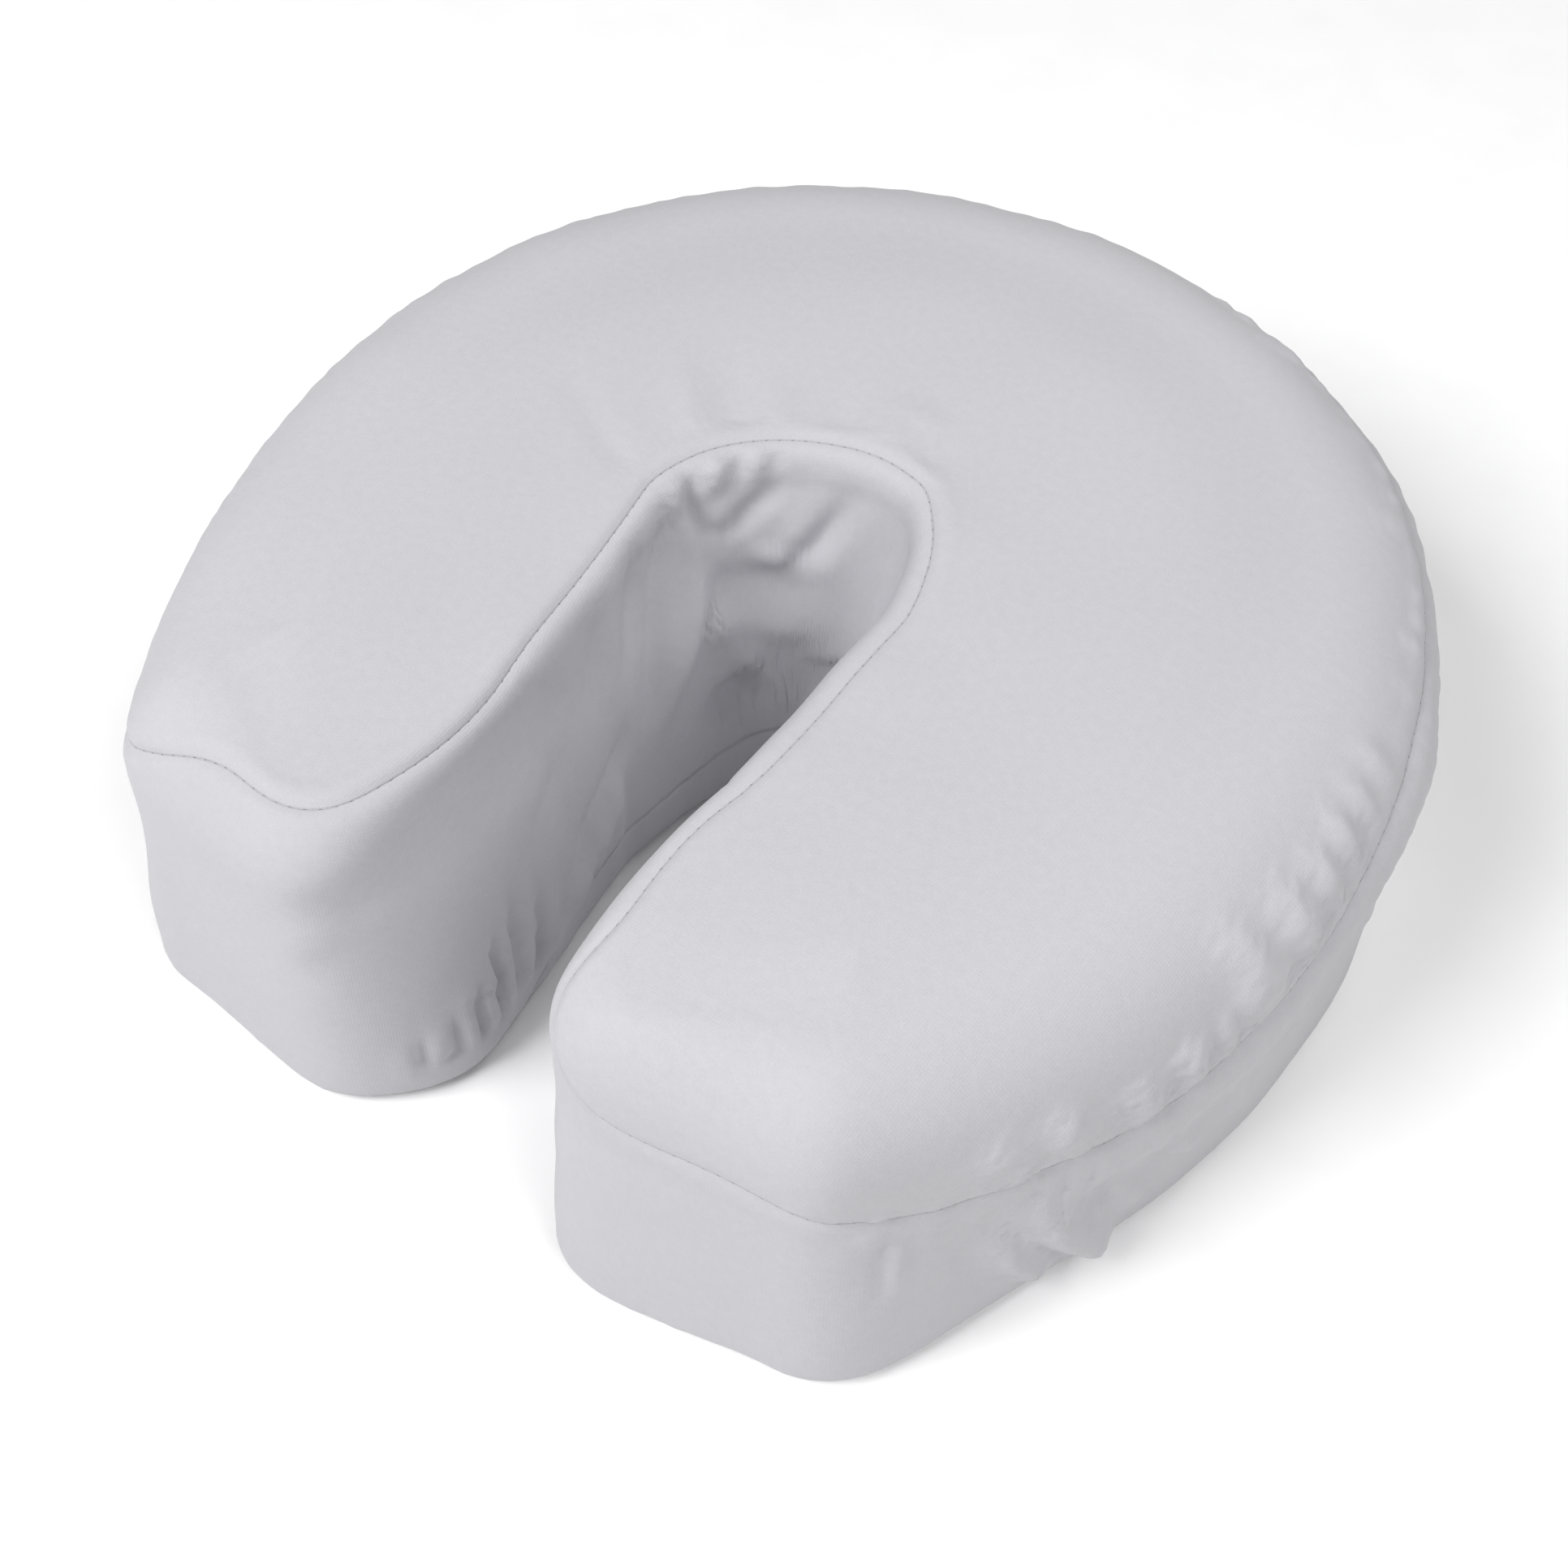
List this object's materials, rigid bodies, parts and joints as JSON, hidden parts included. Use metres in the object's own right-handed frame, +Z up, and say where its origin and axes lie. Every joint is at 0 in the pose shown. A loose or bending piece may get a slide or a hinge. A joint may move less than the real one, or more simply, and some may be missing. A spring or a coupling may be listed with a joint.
{
  "type": "face cradle cushion",
  "caption": "Crescent face cushion for a massage table, with a foam core, upholstery, loop patches and a fitted lift-off cloth cover.",
  "frame": {"origin": "centre of the underside's bounding box, in the plane that the cover's hem and the loop patches rest on", "axes": "+Z up out of the face that the head lies on, +Y towards the crown of the crescent, so the mouth of the throat opens at -Y, +X to the right"},
  "size_m": [0.2836, 0.2917, 0.092],
  "materials": {
    "cover_cloth": "smooth brushed microfibre, pale cool grey, soft matte sheen",
    "cover_thread": "fine polyester sewing thread, pale grey",
    "elastic": "woven covered elastic, off-white",
    "upholstery": "coated upholstery skin, charcoal, fine grain, satin",
    "upholstery_thread": "bonded upholstery thread, charcoal",
    "loop_pile": "hook-and-loop fastener, loop side, black pile",
    "firm_foam": "firm open-cell foam, cream",
    "slow_foam": "slow-recovery foam, off-white"
  },
  "bodies": {
    "cushion": {"support_foam": "firm_foam", "comfort_foam": "slow_foam", "upholstery_top_panel": "upholstery", "upholstery_bottom_panel": "upholstery", "upholstery_outer_band": "upholstery", "upholstery_throat_band": "upholstery", "upholstery_top_stitching": "upholstery_thread", "upholstery_bottom_stitching": "upholstery_thread", "upholstery_corner_stitching": "upholstery_thread", "loop_patch_crown": "loop_pile", "loop_patch_left": "loop_pile", "loop_patch_right": "loop_pile", "loop_patch_stitching": "upholstery_thread"},
    "cover": {"cover_top_panel": "cover_cloth", "cover_side_band": "cover_cloth", "cover_top_stitching": "cover_thread", "cover_join_stitching": "cover_thread", "cover_hem_casing": "cover_cloth", "cover_hem_elastic": "elastic", "cover_hem_stitching": "cover_thread"}
  },
  "joints": [
    {"name": "cover_lift", "type": "slide", "parent": "cushion", "child": "cover", "axis": [0, 0, 1], "range_m": [0, 0.1], "deforming": ["cover_hem_casing", "cover_hem_elastic", "cover_hem_stitching"]}
  ]
}
